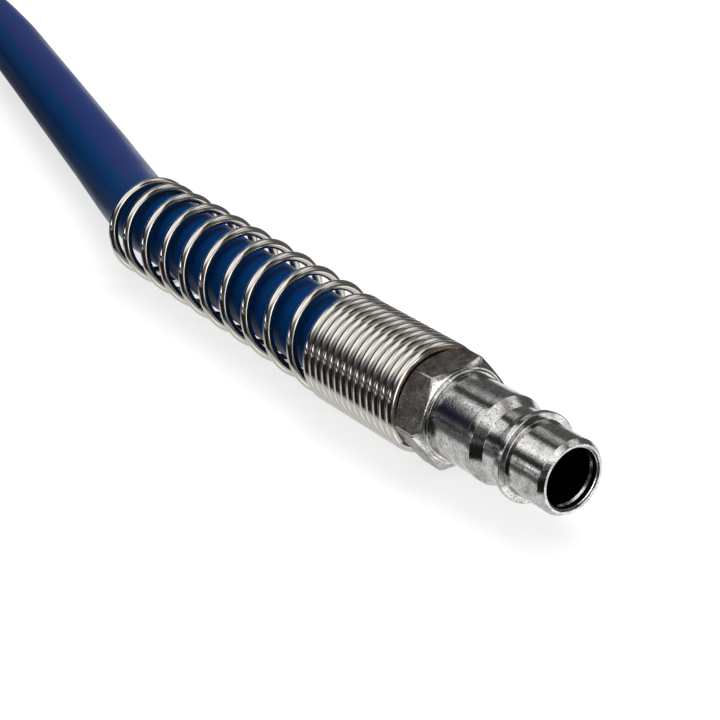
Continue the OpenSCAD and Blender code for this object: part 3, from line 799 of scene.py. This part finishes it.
# %% [markdown]
# ## Hexagons
#
# A hexagon is bar stock whose two ends are turned to a cone, so it is a turned piece cut
# down to a six-sided bar. The cut leaves the curved edges that such a nut has. The flats
# keep the skin of the bar, and each edge is rubbed bright.

# %% Hexagonal bar
CORNER_ROUNDING = 0.22
EDGE_ROUNDING = 0.07
SPARE = 0.5  # how far the cones reach out past the bar's corners
BRIGHT, SKIN, RUBBED_PAINTED_LIGHT = 0, 1, 2  # places of the materials on a hexagon


def hex_bar(name, corner, turn, mouth, at, back):
    """A six-sided bar along X whose corners reach out this far before they are rounded."""
    shape = bmesh.new()
    ends = []
    for x in (at, back):
        ends.append([shape.verts.new((mouth + Vector((
            -x, corner * math.cos(turn + math.tau * k / 6),
            corner * math.sin(turn + math.tau * k / 6)))) * MM) for k in range(6)])
    shape.faces.new(ends[0])
    shape.faces.new(ends[1][::-1])
    for k in range(6):
        j = (k + 1) % 6
        shape.faces.new((ends[0][k], ends[1][k], ends[1][j], ends[0][j]))
    bmesh.ops.recalc_face_normals(shape, faces=shape.faces)
    long_edges = [edge for edge in shape.edges
                  if abs(edge.verts[0].co.x - edge.verts[1].co.x) > MM]
    bmesh.ops.bevel(shape, geom=long_edges, offset=CORNER_ROUNDING * MM, segments=3,
                    affect="EDGES")
    for face in shape.faces:
        face.material_index = SKIN
    return as_mesh(name, shape)


def hexagon(name, across_flats, at, back, turn, mouth, front, rear, bore):
    """A hexagonal bar with both ends turned to a cone. The bore's corners run forwards.

    Front and rear say at which radius a cone starts and how far it goes for each mm out.
    """
    corner = across_flats / 2 / math.cos(math.pi / 6)
    outside = corner + SPARE
    drop, rise = [(outside - radius) * steep for radius, steep in (front, rear)]
    looks = (turned_nickel, drawn_nickel, rubbed_plate_painted_light)
    piece = as_piece(name + "_cone", turned(name + "_cone", [
        (at, front[0], 0), (at + drop, outside, 0), (back - rise, outside, 0),
        (back, rear[0], 0), *bore], mouth, 240), *looks)
    bar = as_piece(name + "_bar",
                   hex_bar(name + "_bar", corner, turn, mouth, at - 1, back + 1), *looks)
    combine(piece, "INTERSECT", bar)
    edges = piece.modifiers.new("soft_edges", "BEVEL")
    edges.width = EDGE_ROUNDING * MM
    edges.segments = 2
    edges.limit_method = "ANGLE"
    edges.angle_limit = math.radians(20)
    mesh = baked(piece)
    mesh.shade_smooth()
    mesh.set_sharp_from_angle(angle=math.radians(35))
    for face in mesh.polygons:
        outward = (math.atan2(face.normal.z, face.normal.y) - turn) % (math.pi / 3)
        if abs(outward - math.pi / 6) > math.radians(4) or abs(face.normal.x) > 0.1:
            face.material_index = BRIGHT  # it isn't on a flat
        # painted light: faces that slope back take the pale tan, which keeps the shaded gap
        # from going black
        if -0.9 < face.normal.x < -0.1:
            face.material_index = RUBBED_PAINTED_LIGHT  # it slopes back, as the rear cone does
    bpy.data.objects.remove(piece)
    bpy.data.objects.remove(bar)
    print(name, "faces:", len(mesh.polygons))
    return mesh


# %% Plug
HEX_AF = 13.7
HEX_TURN = math.radians(7)
HEX_BACK_R = SHANK_R + 0.35


def paint_bore_shade(mesh):
    """Paint shade into the bore: its inside takes a near-black finish, but the step keeps the
    bright plate.
    """
    mesh.materials.append(bore_painted_shade)
    for face in mesh.polygons:
        off = face.center / MM - PLUG_TIP
        on_step = BORE_STEP[0] < -off.x < BORE_STEP[1]
        # painted shade: faces inside the bore, past its mouth, take the dark finish
        if math.hypot(off.y, off.z) < BORE_LIP_R and -off.x > BORE_AT and not on_step:
            face.material_index = len(mesh.materials) - 1


plug = as_piece("plug", plug_front, turned_nickel)
paint_bore_shade(plug_front)
place(plug, "nickel_plate", "plug_body")
plug_hex = as_piece("plug_hexagon", hexagon(
    "plug_hexagon", HEX_AF, HEX_AT, HEX_BACK, HEX_TURN, PLUG_TIP,
    (HEX_FRONT_R, 0.58), (HEX_BACK_R, 1),
    [(HEX_BACK, TAIL_BORE_R, 0), (HEX_AT + 3, TAIL_BORE_R, 0), (HEX_AT, PASSAGE_R, 0)]))
place(plug_hex, "nickel_plate", "plug_body")

# %% [markdown]
# ## Quick coupler
#
# The coupler takes the plug of the next hose. Its body is turned from bar, like the plug,
# with a groove for a seal inside and four holes for the balls. Each piece of the coupler
# has the sizes of its solid, because the two have to move as one.

# %% Coupler sizes
BODY_R, FLANGE_R, CHAMBER_R = 8.3, 9.9, 7.3
SOCKET_R, RELIEF_R, NOSE_BORE_R = 6.05, 6.3, 5.05
RING_AT, RING_W, RING_IN = 1.3, 1.0, 7.7
RELIEF_AT, STEP_AT, SEAL_AT, SEAT_AT = 3.8, 8.65, 10.65, 16.85
SEAL_CORD = 1.5
SEAL_R = NOSE_R - 0.1  # the seal stands this far in, so that it grips the plug's nose
FLANGE_AT, BODY_HEX_AT, BODY_END = 18.5, 27.2, 31.7
BODY_HEX_AF, ADAPTER_HEX_AF = 21, 17
BALLS, BALL_AT, BALL_R = 4, 5.5, 1.5
BALL_HOLE_R = BALL_R + 0.05


# %% Cut and drill
def cut(mesh, *cutters):
    """Cut others out of a mesh, and return the result as a plain mesh."""
    piece = as_piece("to_cut", mesh)
    helpers = [as_piece("cutter", cutter) for cutter in cutters]
    for helper in helpers:
        combine(piece, "DIFFERENCE", helper)
    result = baked(piece)
    result.shade_smooth()
    result.set_sharp_from_angle(angle=math.radians(35))
    for done in (piece, *helpers):
        bpy.data.objects.remove(done)
    return result


def drill(back, turn, radius, reach):
    """A rod that stands square on the coupler's axis, to cut a hole with."""
    shape = bmesh.new()
    bmesh.ops.create_cone(shape, cap_ends=True, segments=48, radius1=radius * MM,
                          radius2=radius * MM, depth=reach * MM)
    out = Vector((0, math.cos(turn), math.sin(turn)))
    stand = out.to_track_quat("Z", "Y").to_matrix().to_4x4()
    stand.translation = (COUPLER_MOUTH + Vector((-back, 0, 0)) + out * (reach / 2)) * MM
    bmesh.ops.transform(shape, matrix=stand, verts=shape.verts)
    return as_mesh("drill", shape)


def nut(name, across_flats, at, back, bore_r):
    """One of the coupler's hexagons, with both of its ends turned alike."""
    end = (across_flats / 2 - 0.2, 0.6)
    return as_piece(name, hexagon(name, across_flats, at, back, 0, COUPLER_MOUTH, end, end,
                                  [(back, bore_r, 0), (at, bore_r, 0)]))


# %% Coupler body
seal_floor = SEAL_R + SEAL_CORD
half_groove = (SEAL_CORD + 0.2) / 2
body_front = turned("coupler_body_front", [
    (0, SOCKET_R + 0.5, 0.1), (0, BODY_R - 0.8, 0.15), (0.5, BODY_R, 0.15),
    (RING_AT, BODY_R, 0.05), (RING_AT, RING_IN, 0.05), (RING_AT + RING_W, RING_IN, 0.05),
    (RING_AT + RING_W, BODY_R, 0.05), (FLANGE_AT, BODY_R, 0.05), (FLANGE_AT, FLANGE_R, 0.1),
    (BODY_HEX_AT + 0.2, FLANGE_R, 0), (BODY_HEX_AT + 0.2, CHAMBER_R, 0),
    (SEAT_AT, CHAMBER_R, 0.1), (SEAT_AT, NOSE_BORE_R, 0.1),
    (SEAL_AT + half_groove, NOSE_BORE_R, 0.05), (SEAL_AT + half_groove, seal_floor, 0.05),
    (SEAL_AT - half_groove, seal_floor, 0.05), (SEAL_AT - half_groove, NOSE_BORE_R, 0.05),
    (STEP_AT, NOSE_BORE_R, 0.15), (STEP_AT, RELIEF_R, 0.05),
    (RELIEF_AT + 0.1, RELIEF_R, 0.05), (RELIEF_AT, SOCKET_R, 0.05), (0.5, SOCKET_R, 0.2)],
    COUPLER_MOUTH, 144)
holes = [drill(BALL_AT, math.radians(360 / BALLS * k), BALL_HOLE_R, 12) for k in range(BALLS)]
body = as_piece("coupler_body_front", cut(body_front, *holes), turned_nickel)
place(body, "nickel_plate", "coupler_body")
print("coupler body faces:", len(body.data.polygons))
body_hex = nut("coupler_body_hexagon", BODY_HEX_AF, BODY_HEX_AT, BODY_END, CHAMBER_R)
place(body_hex, "nickel_plate", "coupler_body")

# %% [markdown]
# ## Adapter and barbed tails
#
# The adapter screws into the back of the body, with a seal in a groove between them, and
# ends in a barbed tail like the plug's. The barbs are one step of an outline, repeated.
# The hose hides them, but they show when the pieces are taken apart.

# %% Adapter
THREAD_AT, THREAD_R, THREAD_BORE_R = 26.85, CHAMBER_R - 0.02, 3.9
PACKING_AT, PACKING_END, PACKING_R = 28.45, 29.75, 6.18  # the groove of its seal

adapter_front = as_piece("adapter_thread", turned("adapter_thread", [
    (THREAD_AT, THREAD_BORE_R, 0.1), (THREAD_AT, THREAD_R, 0.2), (PACKING_AT, THREAD_R, 0.05),
    (PACKING_AT, PACKING_R, 0.05), (PACKING_END, PACKING_R, 0.05),
    (PACKING_END, THREAD_R, 0.05), (BODY_END + 0.2, THREAD_R, 0),
    (BODY_END + 0.2, THREAD_BORE_R, 0)], COUPLER_MOUTH), turned_nickel)
place(adapter_front, "nickel_plate", "coupler_adapter")
adapter_hex = nut("adapter_hexagon", ADAPTER_HEX_AF, BODY_END, ADAPTER_END, TAIL_BORE_R)
place(adapter_hex, "nickel_plate", "coupler_adapter")

# %% Barbed tails
NECK_R, NECK_LEN = 4.45, 1.2
TAIL_R, TAIL_LEN = 3.65, 18.5
BARBS, BARBS_AT, BARB_RISE = 4, 2.0, 0.35
PLAIN_LEN = 2.4  # how much of the tail has no barb
BARB_PITCH = (TAIL_LEN - PLAIN_LEN) / BARBS


def barbed_tail(name, mouth, hexagon_back, node):
    """The barbed tail behind a hexagon, with its bore."""
    outline = [(hexagon_back - OVERLAP, NECK_R, 0), (hexagon_back + NECK_LEN, NECK_R, 0.1),
               (hexagon_back + NECK_LEN, TAIL_R, 0.1)]
    for barb in range(BARBS):
        at = hexagon_back + BARBS_AT + barb * BARB_PITCH
        outline += [(at, TAIL_R, 0.05), (at, TAIL_R + BARB_RISE, 0.05),
                    (at + BARB_PITCH * 0.8, TAIL_R, 0)]
    outline += [(hexagon_back + TAIL_LEN, TAIL_R, 0.2),
                (hexagon_back + TAIL_LEN, TAIL_BORE_R, 0.1),
                (hexagon_back - OVERLAP, TAIL_BORE_R, 0)]
    tail = as_piece(name, turned(name, outline, mouth, 96), turned_nickel)
    print(name, "faces:", len(tail.data.polygons))
    return place(tail, "nickel_plate", node)


barbed_tail("plug_barbs", PLUG_TIP, HEX_BACK, "plug_body")
adapter_barbs = barbed_tail("adapter_barbs", COUPLER_MOUTH, ADAPTER_END, "coupler_adapter")

# %% [markdown]
# ## Sleeve
#
# The sleeve is zinc plated, which leaves it paler, greyer and less sharp than nickel. Its
# flutes are one shape repeated round a circle, so Geometry Nodes draw the cutters: one
# rod, put on every point of a circle, with the whole set laid along the sleeve.

# %% Zinc plate
zinc = nickel_plate("zinc_plated_turned_steel", "#a9adb0", "#979b9e", 0.2,
                    0.000005, 0.00015, 0.00002)

# %% Sleeve
SLEEVE_R, SLEEVE_BORE, SLEEVE_FRONT, SLEEVE_END = 12.0, 9.98, 0.2, 22.2
SLEEVE_TRAVEL, BALL_RISE = 4.0, 0.9  # the balls rise on a ramp as the sleeve slides back
GRIP_AT, GRIP_END, GRIP_R = 4.8, 18.2, 11.65
LAND_R, LAND_END, RAMP_END, SLEEVE_STOP = 8.38, 8.3, 5.8, 2.35
RAMP_R = LAND_R + 0.06
RAMP_FRONT_R = RAMP_R + BALL_RISE / SLEEVE_TRAVEL * (BALL_AT - SLEEVE_STOP)
FLUTES, FLUTE_R, FLUTE_DEPTH = 24, 0.8, 0.4

sleeve_mesh = turned("sleeve", [
    (SLEEVE_FRONT, SLEEVE_BORE - 0.2, 0.1), (SLEEVE_FRONT, SLEEVE_R - 0.9, 0.2),
    (SLEEVE_FRONT + 0.9, SLEEVE_R, 0.3), (GRIP_AT - 0.8, SLEEVE_R, 0.15),
    (GRIP_AT - 0.4, SLEEVE_R - 1.1, 0.1), (GRIP_AT, SLEEVE_R - 1.1, 0.1),
    (GRIP_AT + 0.5, GRIP_R, 0.15), (GRIP_END - 0.5, GRIP_R, 0.15),
    (GRIP_END, SLEEVE_R - 1.1, 0.1), (GRIP_END + 0.4, SLEEVE_R - 1.1, 0.1),
    (GRIP_END + 0.8, SLEEVE_R, 0.15), (SLEEVE_END - 0.7, SLEEVE_R, 0.2),
    (SLEEVE_END, SLEEVE_R - 0.7, 0.2), (SLEEVE_END, SLEEVE_BORE, 0.1),
    (LAND_END, SLEEVE_BORE, 0.05), (LAND_END, LAND_R, 0.1), (RAMP_END, LAND_R, 0),
    (BALL_AT, RAMP_R, 0), (SLEEVE_STOP, RAMP_FRONT_R, 0),
    (SLEEVE_STOP, SLEEVE_BORE - 0.2, 0.05)], COUPLER_MOUTH, 144)


def flute_tree():
    """Rods along X, spread evenly round a circle."""
    tree = new_tree("flute_cutters", {"Count": "Int", "Circle": "Float", "Radius": "Float",
                                      "Length": "Float", "Middle": "Vector"})
    size = add(tree, "NodeGroupInput").outputs
    rod = add(tree, "GeometryNodeMeshCylinder", {
        "Vertices": 24, "Radius": size["Radius"], "Depth": size["Length"]})
    ring = add(tree, "GeometryNodeMeshCircle", {
        "Vertices": size["Count"], "Radius": size["Circle"]})
    rods = add(tree, "GeometryNodeInstanceOnPoints", {"Points": ring, "Instance": rod})
    lying = add(tree, "GeometryNodeTransform", {
        "Geometry": rods, "Rotation": (0, math.pi / 2, 0),
        "Translation": size["Middle"]})
    real = add(tree, "GeometryNodeRealizeInstances", {"Geometry": lying})
    add(tree, "NodeGroupOutput", {"Geometry": real})
    return tree


cutters = grown("flute_cutters", bpy.data.meshes.new("flute_cutters"), flute_tree(), {
    "Count": FLUTES, "Circle": (GRIP_R + FLUTE_R - FLUTE_DEPTH) * MM, "Radius": FLUTE_R * MM,
    "Length": (GRIP_END - GRIP_AT + 0.4) * MM,
    "Middle": (COUPLER_MOUTH - Vector(((GRIP_AT + GRIP_END) / 2, 0, 0))) * MM})
sleeve_mesh = cut(sleeve_mesh, cutters.data)
sleeve_mesh.materials.clear()
sleeve = as_piece("sleeve", sleeve_mesh, zinc)
bpy.data.objects.remove(cutters)
place(sleeve, "zinc_plate", "locking_sleeve", body="sleeve")
print("sleeve faces:", len(sleeve.data.polygons))

# %% [markdown]
# ## Balls, ring, seals and valve
#
# Four hardened balls drop behind the collar of a plug. A split ring of spring steel stops
# the sleeve, and rings of nitrile rubber seal. The valve is turned from brass, which is
# the one warm colour in the coupler.

# %% Small materials
def plain(name, colour, metallic, roughness, scale, depth):
    """A finish with a fine grain of its own: scale in grains a metre, depth in metres."""
    material, tree, shader = new_material(name)
    grain = noise(tree, scale, 3)
    bump = add(tree, "ShaderNodeBump", {"Height": grain, "Strength": 0.3, "Distance": depth})
    join(tree, shader, {
        "Base Color": linear(colour), "Metallic": metallic, "Normal": bump,
        "Roughness": ranged(tree, grain, 0.3, 0.7, roughness, roughness + 0.1)})
    return material


ball_steel = plain("hardened_bearing_steel", "#c4c6c8", 1, 0.04, 300, 0.000002)
nitrile = plain("moulded_nitrile_rubber", "#16171a", 0, 0.45, 900, 0.00001)
brass = plain("turned_brass", "#c69c4c", 1, 0.16, 500, 0.00001)
spring_steel = plain("blued_spring_steel", "#6d6f73", 1, 0.25, 500, 0.00001)

# %% Balls
balls = []
for k in range(BALLS):
    node = f"locking_ball_{k + 1}"
    low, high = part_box(node)
    middle = [(a + b) / 2 for a, b in zip(low, high)]
    shape = bmesh.new()
    bmesh.ops.create_uvsphere(shape, u_segments=48, v_segments=24, radius=BALL_R * MM)
    bmesh.ops.translate(shape, vec=middle, verts=shape.verts)
    mesh = as_mesh(node + "_mesh", shape)
    mesh.shade_smooth()
    balls.append(as_piece(f"ball_{k + 1}", mesh, ball_steel))
    place(balls[-1], "ball_steel", node, body=f"ball_{k + 1}")
print("balls:", len(balls))

# %% Nose seal
SEAL_STEPS = 24
seal_middle_r = SEAL_R + SEAL_CORD / 2
seal_cord_r = (SEAL_CORD - 0.02) / 2
seal_outline = []
for step in range(SEAL_STEPS):
    angle = math.tau * step / SEAL_STEPS
    seal_outline.append((SEAL_AT + seal_cord_r * math.cos(angle),
                         seal_middle_r + seal_cord_r * math.sin(angle), 0))
nose_ring = as_piece("nose_o_ring", turned("nose_o_ring", seal_outline, COUPLER_MOUTH, 120),
                     nitrile)
place(nose_ring, "seal_rubber", "nose_seal")
print("nose seal faces:", len(nose_ring.data.polygons))

# %% [markdown]
# ## Solids that stay
#
# The pieces that hide inside the coupler, or under a spring or the hose, already have
# their real form in their solids. They keep it and only take a finish.

# %% Finished solids
for node, material in {
        "adapter_seal": nitrile, "valve_seal": nitrile, "valve_poppet": brass,
        "retaining_ring": spring_steel, "plug_ferrule": zinc, "coupler_ferrule": zinc,
        "plug_hose_end": hose_blue, "coupler_hose_end": hose_blue}.items():
    solid = bpy.data.objects[node].data
    solid.materials.clear()
    solid.materials.append(material)
    print(node, "takes", material.name)

# %% [markdown]
# ## Inner springs
#
# Two springs inside the coupler push the sleeve and the valve back. They are wound by the
# same tree as the guard springs, with every turn alike.

# %% Inner springs
VALVE_TRAVEL = 3.4
INNER_SPRINGS = {  # wire, radius to its middle, turns, the joint that presses it, travel
    "sleeve_spring": (1.0, 9.3, 4, "sleeve_slide", SLEEVE_TRAVEL),
    "valve_spring": (0.9, 5.1, 3.25, "valve_slide", VALVE_TRAVEL)}
for node, (thick, middle_r, turns, joint, travel) in INNER_SPRINGS.items():
    low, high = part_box(node)
    length = (high[0] - low[0]) / MM
    pitch = (length - thick) / turns * MM
    start = COUPLER_MOUTH.copy()
    start.x = high[0] / MM - thick / 2
    name = node + "_wire"
    spring = grown(name, bpy.data.meshes.new(name), springs, {
        "Start": start * MM, "Diameter": thick * MM, "Mean Radius": middle_r * MM,
        "Start Angle": 0.0, "Close Turns": turns - 1.0, "Close Pitch": pitch,
        "Open Turns": 1.0, "Open Pitch": pitch, "Last Pitch": pitch, "Ease": 1.0,
        "Tighten": 0.0, "Tip Turns": 0.0, "Lean": 0.0, "Sense": -1.0, "Rings": 48,
        "Sides": 16, "Material": spring_steel})
    place(spring, "spring_wire", node)
    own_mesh(spring)
